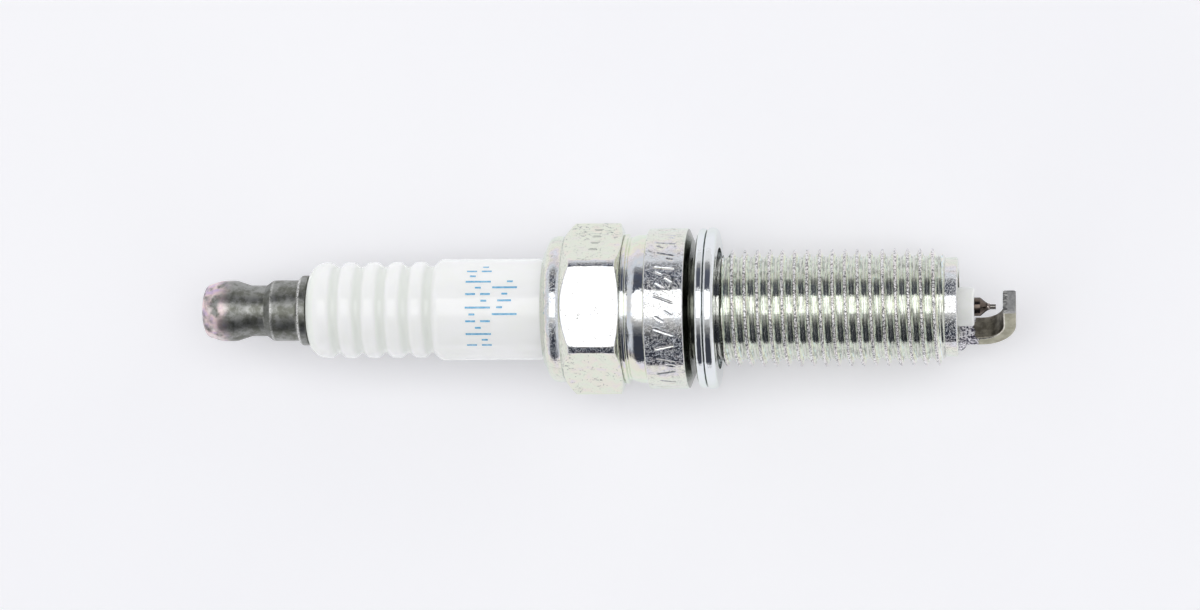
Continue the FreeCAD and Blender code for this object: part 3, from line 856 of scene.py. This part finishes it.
def stamped_band():
    """Rows of the band in fine columns, from the waist to the shoulder, with its strokes pressed in."""
    top_r = 8.12
    band = outline([
        (BAND_LEFT, 7.8), (BAND_LEFT, top_r, 0.14), (BAND_RIGHT, top_r, 0.18),
        (SHOULDER, 6.95, 0.12), (SHOULDER, 6.8),
    ])
    level = [x for x, r in band if r > top_r - 0.02]
    half_way = (BAND_LEFT + BAND_RIGHT) / 2
    flat_start = max(x for x in level if x < half_way)
    flat_end = min(x for x in level if x > half_way)
    middle = (flat_start + flat_end) / 2 + 0.05
    strokes = stamped_strokes()
    rows = []
    for x, r in band:
        rows.append([(x, r)] * FINE_COLUMNS)
        if x != flat_start:
            continue
        for number in range(1, STAMP_ROWS):
            place = flat_start + (flat_end - flat_start) * number / STAMP_ROWS
            depths = [stamp_depth(angle, place - middle, strokes, r) for angle in FINE_ANGLES]
            rows.append([(place, r - depth) for depth in depths])
    return rows


def shell_finish(polygon):
    """The zinc finish of one face of the shell, chosen by its place."""
    x = polygon.center.x / MM
    if x > THREAD_END + 0.1:
        return ZINC_PILOT
    if x > THREAD_START - 0.6:
        return ZINC_THREAD
    # the shoulder cone and the neck get the zinc in painted shade
    if x > BAND_RIGHT + 0.08:
        return ZINC_RECESS_SHADE
    if HEX_RIGHT + 0.02 < x < BAND_LEFT - 0.05:
        return ZINC_WAIST
    if x < LIP_END:
        return ZINC_LIP
    if x < HEX_RIGHT + 0.02 and abs(polygon.normal.x) < 0.3:
        from_corner = math.degrees(math.atan2(polygon.center.z, polygon.center.y)) % 60
        on_flat = CORNER_STRIP_DEG < from_corner < 60 - CORNER_STRIP_DEG
        return ZINC_FLAT if on_flat else ZINC_LIP
    return ZINC_SPECKLED


def shell():
    """A closed skin: lip, hexagon and waist, the finer band, the neck, the thread, then pilot and bore."""
    lip, end = SHELL_LOW.x, SHELL_HIGH.x
    mouth_r = BARREL_R + 0.04
    end_bore, cavity_r = 3.72, 6.2
    waist_r, waist_rise, waist_length, waist_steps = 7.20, 0.31, 1.76, 14
    waist = []
    for number in range(1, waist_steps + 1):
        share = number / waist_steps
        rise = waist_rise * math.sin(math.pi / 2 * min(1, share * 1.5))
        waist.append((WAIST_LEFT + waist_length * share, waist_r + rise))
    before_band = plain_rows([
        (lip + 1.0, mouth_r), (lip + 0.25, mouth_r), (lip, BARREL_R + 0.2, 0.14),
        (lip + 0.05, 5.9, 0.5), (lip + 0.75, 7.32, 0.9), (lip + 1.45, 7.44, 0.6),
        (LIP_END, 7.44),
    ])
    before_band += hexagon_rows(HEX_LEFT, 7.45, HEX_FULL_LEFT, HEX_FULL_RIGHT, HEX_RIGHT, 7.5)
    before_band += plain_rows([
        (HEX_RIGHT + 0.01, 7.3), (HEX_RIGHT + 0.08, 7.3, 0.03),
        (HEX_RIGHT + 0.12, 7.6, 0.07), (HEX_RIGHT + 0.40, 7.6, 0.07),
        (WAIST_LEFT - 0.06, 7.22, 0.08), (WAIST_LEFT, waist_r),
    ])
    before_band += plain_rows(waist, swell=0.05)
    before_band += plain_rows([(BAND_LEFT, 7.44), (BAND_LEFT, 7.7)])
    neck = plain_rows([
        (SHOULDER, 6.6), (SHOULDER, NECK_R, 0.15), (THREAD_START - 0.5, NECK_R),
        (THREAD_START - 0.02, NECK_R),
    ])
    inside = plain_rows([
        (THREAD_END + 0.02, PILOT_R), (end - 0.6, PILOT_R), (end, PILOT_R, 0.2),
        (end, end_bore, 0.08), (15.1, end_bore), (14.6, 3.38), (12.72, 3.38), (12.0, 4.1),
        (-3.1, 4.1), (-5.2, cavity_r, 0.3), (lip + 1.0, cavity_r, 0.5), (lip + 1.0, 5.6),
    ])
    section = thread_section()
    vertices = []
    starts = add_rings(vertices, before_band + neck + inside, ANGLES)
    fine_starts = add_rings(vertices, stamped_band(), FINE_ANGLES)
    thread_starts = add_rings(vertices, thread_rows(section), ANGLES)
    band_at = len(before_band)
    neck_end = band_at + len(neck)

    faces = []
    for number, start in enumerate(starts):
        if number not in (band_at - 1, neck_end - 1):
            faces += ring_faces(start, starts[(number + 1) % len(starts)], COLUMNS)
    for here, after in zip(fine_starts, fine_starts[1:]):
        faces += ring_faces(here, after, FINE_COLUMNS)
    for coarse, fine in ((starts[band_at - 1], fine_starts[0]), (starts[band_at], fine_starts[-1])):
        for column in range(COLUMNS):
            parts = [fine + (column * FINE + part) % FINE_COLUMNS for part in range(FINE, -1, -1)]
            faces.append((coarse + column, coarse + (column + 1) % COLUMNS, *parts))
    # Past the last column a thread row goes on as the row one pitch further along.
    pitch_on = len(section)
    for number in range(len(thread_starts) - 1):
        here, after = thread_starts[number], thread_starts[number + 1]
        for column in range(COLUMNS - 1):
            faces.append((here + column, here + column + 1, after + column + 1, after + column))
        if number + 1 + pitch_on < len(thread_starts):
            far_here, far_after = thread_starts[number + pitch_on], thread_starts[number + 1 + pitch_on]
            faces.append((here + COLUMNS - 1, far_here, far_after, after + COLUMNS - 1))
    faces += ring_faces(starts[neck_end - 1], thread_starts[0], COLUMNS)
    faces += ring_faces(thread_starts[-1], starts[neck_end], COLUMNS)

    piece = add_mesh("shell_body", vertices, faces, *SHELL_FINISHES, sharp_deg=50,
                     node="shell", slot="zinc_plated_steel")
    paint(piece, shell_finish)


shell()


def flat_marks():
    """Four pairs of small dark ticks across the flat that faces +Y and up: painted shade of stamped dents.
    """
    half_width, bottom, top = 0.035, -0.01, 0.004
    out = Vector((0, math.cos(math.radians(30)), math.sin(math.radians(30))))
    across = Vector((0, -out.z, out.y))
    along = Vector((1, 0, 0))
    vertices = []
    faces = []
    for number, x in enumerate((-12.0, -12.1, -12.15, -12.25)):
        odd = number % 2
        for pair, half_length in ((-1, 0.46 - 0.1 * odd), (1, 0.34 + 0.12 * odd)):
            place = out * HEX_FLAT_R + across * (-2.5 + 1.38 * number + pair * 0.11) + along * x
            first = len(vertices)
            for level in (bottom, top):
                for end, side in ((-1, -1), (1, -1), (1, 1), (-1, 1)):
                    corner = along * end * half_length + across * side * half_width + out * level
                    vertices.append(place + corner)
            faces.append((first + 3, first + 2, first + 1, first))
            faces.append((first + 4, first + 5, first + 6, first + 7))
            faces += ring_faces(first, first + 4, 4)
    add_mesh("flat_marks", vertices, faces, STAMP_SHADE)


flat_marks()


# ---- gasket ----

def gasket():
    """Folded sheet: two outer rolls with a seam between them, and the inner bend that holds it captive."""
    left, right = GASKET_LOW.x, GASKET_HIGH.x
    right_r = GASKET_HIGH.y
    left_r = right_r - 0.08
    sheet = 0.4
    seam_left, seam_right = -1.16, -1.10
    bend_r = 5.6
    face_r = 6.1

    def wobble(x, r, angle):
        swell = noise.noise(Vector(round_axis(x * 0.8, 2.2, angle)))
        return 0.022 * swell if r > 7 else 0.0

    lathe("gasket_ring", [
        (right, face_r, 0.1), (right, 7.2), (right, right_r, 0.50),
        (seam_right, right_r, 0.30), (seam_right, bend_r + sheet),
        (seam_left, bend_r + sheet), (seam_left, left_r, 0.22), (left, left_r, 0.38),
        (left, face_r, 0.1), (left + sheet, face_r, 0.1), (left + sheet, left_r - sheet),
        (seam_left - sheet, left_r - sheet), (seam_left - sheet, bend_r, 0.35),
        (seam_right + sheet, bend_r, 0.35), (seam_right + sheet, right_r - sheet),
        (right - sheet, right_r - sheet), (right - sheet, face_r, 0.1),
    ], GASKET_METAL, columns=180, loop=True, wobble=wobble, body="gasket_ring",
        node="gasket", slot="gasket_steel")


gasket()


# ---- centre electrode, weld and tip ----

def centre_electrode():
    """The electrode is a shell round its copper core, which the outline's inner corners leave room for."""
    head, cone_end = ELECTRODE_LOW.x, ELECTRODE_HIGH.x
    stem_end = 6.33
    stem_r, nose_r, socket_r, core_r = 1.6, 0.94, 0.27, 0.5
    lathe("electrode", [
        (head, core_r), (head, 1.1, 0.15), (head + 1.1, 1.1, 0.15),
        (head + 1.1, stem_r, 0.2), (stem_end, stem_r), (stem_end + 0.66, nose_r),
        (cone_end - 1.4, nose_r), (cone_end - 0.7, nose_r, 0.12),
        (cone_end - 0.12, 0.46, 0.3), (cone_end, 0.42, 0.05), (cone_end, socket_r),
        (cone_end - 0.6, socket_r), (cone_end - 0.6, 0), (25.3, 0), (24.6, core_r),
    ], ELECTRODE_METAL, columns=72, loop=True, node="center_electrode", slot="nickel_alloy")

    def lumps(x, r, angle):
        if r < 0.28:
            return 0.0
        return 0.045 * noise.noise(Vector(round_axis(x * 9, 3, angle)))

    lathe("weld_collar", [
        (WELD_LOW.x, 0.268), (WELD_LOW.x, 0.36, 0.03), (WELD_LOW.x + 0.14, 0.35, 0.1),
        (WELD_HIGH.x, 0.285, 0.03), (WELD_HIGH.x, 0.268),
    ], MELTED_METAL, columns=72, loop=True, wobble=lumps, node="tip_weld", slot="weld_metal")
    lathe("tip_wire", [
        (TIP_LOW.x, 0), (TIP_LOW.x, 0.265), (WELD_HIGH.x, 0.265), (TIP_HIGH.x - 0.2, 0.265),
        (TIP_HIGH.x, 0.27, 0.03), (TIP_HIGH.x, 0),
    ], TIP_METAL, columns=64, node="iridium_tip", slot="iridium")


centre_electrode()


# ---- ground strap ----

STRAP_TURN = Matrix.Rotation(math.radians(STRAP_TURN_DEG), 3, "X")
STRAP_LOW_R = STRAP_MIDDLE_R - STRAP_BEND_R     # where the bend ends and the cross arm starts


def strap_path():
    """(x, r, heading) along the strap's mid line, from the shell's end to the cut end."""
    path = []
    for number in range(7):
        path.append((STRAP_LOW.x + (STRAP_BEND_X - STRAP_LOW.x) * number / 7, STRAP_MIDDLE_R, 0.0))
    for number in range(19):
        angle = math.pi / 2 * number / 18
        drop = STRAP_BEND_R * (1 - math.cos(angle))
        path.append((STRAP_BEND_X + STRAP_BEND_R * math.sin(angle), STRAP_MIDDLE_R - drop, angle))
    for number in range(1, 11):
        reach = (-STRAP_PAST_AXIS - STRAP_LOW_R) * number / 10
        path.append((STRAP_TIP_X, STRAP_LOW_R + reach, math.pi / 2))
    return path


def inside_offset(x, r):
    """How far a point of the strap lies from its mid line, towards the electrode."""
    if x < STRAP_BEND_X:
        return STRAP_MIDDLE_R - r
    if r < STRAP_LOW_R:
        return STRAP_TIP_X - x
    return STRAP_BEND_R - math.hypot(x - STRAP_BEND_X, r - STRAP_LOW_R)


def strap_section():
    """(out, across) points of the strap's rounded rectangular section, corner by corner."""
    rounding = 0.2
    out_middle = STRAP_THICKNESS / 2 - rounding
    across_middle = STRAP_WIDTH / 2 - rounding
    corners = []
    for quarter, (out_side, across_side) in enumerate(((1, 1), (-1, 1), (-1, -1), (1, -1))):
        corner = []
        for number in range(5):
            angle = math.radians(90 * (quarter + number / 4))
            out = out_side * out_middle + rounding * math.cos(angle)
            corner.append((out, across_side * across_middle + rounding * math.sin(angle)))
        corners.append(corner)
    points = []
    for quarter, corner in enumerate(corners):
        points += corner
        begin, finish = Vector(corner[-1]), Vector(corners[(quarter + 1) % 4][0])
        steps = 14 if quarter % 2 else 8
        points += [tuple(begin.lerp(finish, number / steps)) for number in range(1, steps)]
    return points


def strap_finish(polygon):
    """The cut end, the inside in painted shade, the strip beside the inside's edges with a painted
    highlight, or the outside.
    """
    x = polygon.center.x / MM
    r = polygon.center.dot(STRAP_TURN @ Vector((0, 1, 0))) / MM
    depth = STRAP_THICKNESS / 2 - inside_offset(x, r)
    if r < -STRAP_PAST_AXIS + 0.14:
        return STRAP_END
    if depth < 0.04:
        return STRAP_INSIDE_SHADE
    if depth < 0.17 and x > STRAP_LOW.x + 1.9:
        return STRAP_EDGE_HIGHLIGHT
    return STRAP_METAL


def ground_strap():
    section = strap_section()
    path = strap_path()
    count = len(section)
    vertices = []
    for number, (x, r, heading) in enumerate(path):
        for out, across in section:
            point = Vector((x + out * math.sin(heading), r + out * math.cos(heading), across))
            if number < len(path) - 1:
                point.y += 0.012 * noise.noise(Vector((x, r, across)) * 1.3)
            vertices.append(STRAP_TURN @ point)
    rings = [number * count for number in range(len(path))]
    root_centre = len(vertices)
    vertices.append(STRAP_TURN @ Vector((path[0][0], path[0][1], 0)))
    end_x, end_r, _ = path[-1]
    for shrink in (0.94, 0.75, 0.5, 0.25):
        rings.append(len(vertices))
        for out, across in section:
            broken = 1.0 if out < -0.05 else 0.25
            jag = noise.noise(Vector((out * 2.2, across * 5.5, 3.1))) * 0.11 * broken
            r = end_r + 0.03 - abs(jag) * (1 - shrink * 0.4)
            vertices.append(STRAP_TURN @ Vector((end_x + out * shrink, r, across * shrink)))
    cut_centre = len(vertices)
    vertices.append(STRAP_TURN @ Vector((end_x, end_r + 0.02, 0)))
    faces = fan_faces(root_centre, 0, count)
    for first, second in zip(rings, rings[1:]):
        faces += ring_faces(first, second, count)
    faces += fan_faces(cut_centre, rings[-1], count)
    piece = add_mesh("ground_strap", vertices, faces, STRAP_METAL, STRAP_INSIDE_SHADE, STRAP_END, STRAP_EDGE_HIGHLIGHT,
                     sharp_deg=45, node="ground_electrode", slot="nickel_alloy")
    paint(piece, strap_finish)


ground_strap()


def weld_flash():
    """Lumpy metal squeezed out round the strap's root, with a bigger blob at one side."""
    around = 96
    arc_points = 14
    squareness = 0.28            # the root's outline is a rounded rectangle, written as a superellipse
    half_across, half_out = STRAP_WIDTH / 2, STRAP_THICKNESS / 2

    def at(x, out, across):
        return STRAP_TURN @ Vector((SHELL_HIGH.x + x, STRAP_MIDDLE_R + out, across))

    vertices = []
    for number in range(around):
        turn = 2 * math.pi * number / around
        cosine, sine = math.cos(turn), math.sin(turn)
        w = math.copysign(abs(sine) ** squareness, sine) * half_across
        t = math.copysign(abs(cosine) ** squareness, cosine) * half_out
        lump = 0.5 + 0.5 * noise.noise(Vector((cosine * 1.9, sine * 1.9, 0.7)))
        blob = max(0.0, -sine) ** 3
        reach = 0.12 + 0.22 * lump * abs(sine) + 0.38 * blob
        length = 0.42 + 0.30 * lump + 0.15 * blob
        if cosine > 0.3:
            reach = 0.06
        if cosine < -0.3:
            reach = 0.03
        for step in range(arc_points):
            angle = math.pi / 2 * step / (arc_points - 1)
            out = reach * math.cos(angle)
            x = length * math.sin(angle)
            across = w + math.copysign(out, w) * min(1, abs(w) / half_across)
            outwards = t + math.copysign(out, t) * min(1, abs(t) / half_out)
            rough = 0.03 * noise.noise(Vector((x * 6, across * 4, outwards * 4)))
            vertices.append(at(x + (rough if step else 0), outwards, across + rough))
        vertices.append(at(length, t * 0.9, w * 0.95))
        vertices.append(at(0, t * 0.9, w * 0.95))
    width = arc_points + 2
    faces = []
    for number in range(around):
        faces += ring_faces(number * width, (number + 1) % around * width, width)
    add_mesh("root_flash", vertices, faces, FLASH_METAL, sharp_deg=60, node="strap_weld", slot="weld_metal")


weld_flash()


# ---- print on the barrel ----

INK_HALF_WIDTH = 0.10
INK_THICKNESS = 0.012
INK_ROOT = 0.01              # how far a bar reaches into the barrel
BAR_ROWS = 8
BAR_COLUMNS = 5


def add_ink_bar(vertices, faces, centre_x, around, half):
    """A thin closed bar laid round the barrel, with its length along the axis."""
    levels = [(column, BARREL_R - INK_ROOT) for column in range(BAR_COLUMNS + 1)]
    levels += [(column, BARREL_R + INK_THICKNESS) for column in range(BAR_COLUMNS, -1, -1)]
    count = len(levels)
    first = len(vertices)
    for row in range(BAR_ROWS + 1):
        for column, r in levels:
            across = (column / BAR_COLUMNS - 0.5) * 2 * INK_HALF_WIDTH
            angle = math.pi / 2 - around + across / BARREL_R
            vertices.append(round_axis(centre_x - half + 2 * half * row / BAR_ROWS, r, angle))
    for row in range(BAR_ROWS):
        faces += ring_faces(first + row * count, first + (row + 1) * count, count)
    for end in (first, first + BAR_ROWS * count):
        for column in range(BAR_COLUMNS):
            opposite = count - 1 - column
            faces.append((end + column, end + column + 1, end + opposite - 1, end + opposite))


def printed_marks():
    """Two columns of plain ink bars, long and short by turns."""
    first_x, second_x = -23.9, -21.2
    pitch = 0.27
    bars = []                # (centre x, angle from the top, half length)
    for number in range(7):
        around = -0.80 + pitch * number
        if number % 2:
            bars.append((first_x, around, 1.28))
        else:
            bars.append((first_x - 0.75, around, 0.5))
            bars.append((first_x + 0.75, around, 0.5))
        bars.append((first_x + 0.6 - 0.6 * (number % 3), around + pitch / 2, 0.30))
    for number in range(3):
        around = -0.12 + pitch * number
        bars.append((second_x, around, 0.7 if number == 1 else 1.25))
        bars.append((second_x - 0.5 + 0.5 * number, around + pitch / 2, 0.30))
    vertices = []
    faces = []
    for bar in bars:
        add_ink_bar(vertices, faces, *bar)
    add_mesh("printed_marks", vertices, faces, INK)


printed_marks()


# ---- inside pieces, which keep their CAD shape ----

SEAL_GLASS = ((0.42, 0.33, 0.27), (0.22, 0.17, 0.14), 0.6, 0.3, 0.4)
PACKING_WIRE = ((0.55, 0.55, 0.56), (0.38, 0.38, 0.39), 0.5, 1.0, 0.35)
INSIDE = {                   # light, dark, size of the mottle, metallic, roughness
    "upper_glass_seal": SEAL_GLASS,
    "lower_glass_seal": SEAL_GLASS,
    "resistor": ((0.16, 0.16, 0.17), (0.06, 0.06, 0.07), 0.3, 0.0, 0.7),
    "copper_core": ((0.85, 0.45, 0.30), (0.65, 0.32, 0.20), 0.8, 1.0, 0.3),
    "upper_packing_ring": PACKING_WIRE,
    "lower_packing_ring": PACKING_WIRE,
    "seat_packing": ((0.58, 0.57, 0.56), (0.40, 0.40, 0.40), 0.5, 1.0, 0.35),
    "talc_fill": ((0.90, 0.89, 0.86), (0.80, 0.78, 0.74), 0.4, 0.0, 0.85),
}
for node, look in INSIDE.items():
    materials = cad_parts[node].data.materials
    materials.clear()
    materials.append(plain_solid(f"{node}_look", *look))


# ---- floor, light and camera ----

FLOOR_GLOW = 0.275
STUDIO_STRENGTH = 2.2
STUDIO_ENDS = (0.35, 0.35, 0.355)    # what light comes along the plug's axis
STUDIO_LEVELS = [            # degrees round the axis, from overhead towards +Y, and brightness
    (-94, 0.33), (-88, 0.022), (-46, 0.022), (-32, 0.10), (-16, 0.32), (-13, 0.85),
    (24, 0.85), (25.5, 0.034), (52, 0.045), (60, 0.12), (66, 0.15), (70, 0.37),
]


def floor():
    """A pale sheet under the gasket's rim. It glows a little, as a lit white table does."""
    half = 1.5
    level = GASKET_LOW.z * MM
    mesh = bpy.data.meshes.new("floor")
    corners = [(-half, -half, level), (half, -half, level), (half, half, level), (-half, half, level)]
    mesh.from_pydata(corners, [], [(0, 1, 2, 3)])
    thing = bpy.data.objects.new("floor", mesh)
    bpy.context.scene.collection.objects.link(thing)
    m = Nodes("floor_paper")
    colour = m.mix(m.between(m.noise(60, 2), 0.3, 0.7), (0.86, 0.86, 0.885), (0.88, 0.88, 0.90))
    mesh.materials.append(m.surface(
        Base_Color=colour, Emission_Color=colour, Emission_Strength=FLOOR_GLOW, Roughness=0.8
    ))


def studio():
    """Light from all round: a big soft box overhead, a strip beside it, and a white wall at +Y. The dark
    parts between them are a little blue."""
    m = Nodes("studio", world=True)
    bpy.context.scene.world = m.owner
    angle = m.math("ARCTAN2", m.axis("Y"), m.axis("Z"))
    share = m.math("DIVIDE", m.plus(angle, math.pi), 2 * math.pi)
    stops = []
    for degrees, level in STUDIO_LEVELS:
        green, blue = (1.08, 1.4) if level < 0.1 else (1.0, 1.01)
        stops.append(((degrees + 180) / 360, (level, level * green, level * blue)))
    near_ends = m.between(m.math("ABSOLUTE", m.axis("X")), 0.42, 0.60)
    light = m.mix(near_ends, m.ramp(share, stops), STUDIO_ENDS)
    background = m.node("Background", {"Color": light, "Strength": STUDIO_STRENGTH})
    m.put(m.output.inputs[0], background.outputs[0])


def camera():
    """Nearly straight down from 450 mm, moved towards the firing end, and leaned 1.7 degrees round X."""
    height = 450.0
    view_half_width = 60.5
    target = Vector((-12.12, 0.39, 0)) * MM
    lean = math.tan(math.radians(1.7))
    spot = Vector((38.0, 0.39 - height * lean, height)) * MM
    back = (spot - target).normalized()
    right = Vector((0, 1, 0)).cross(back).normalized()
    up = back.cross(right)
    data = bpy.data.cameras.new("camera")
    data.sensor_width = 36
    data.lens = data.sensor_width / 2 * (spot - target).length / (view_half_width * MM)
    thing = bpy.data.objects.new("camera", data)
    roll = Matrix.Rotation(math.radians(-0.14), 3, back)
    axes = Matrix((roll @ right, roll @ up, back)).transposed()
    thing.matrix_world = Matrix.Translation(spot) @ axes.to_4x4()
    bpy.context.scene.collection.objects.link(thing)
    bpy.context.scene.camera = thing


floor()
studio()
camera()
bpy.context.scene.view_settings.view_transform = "Standard"
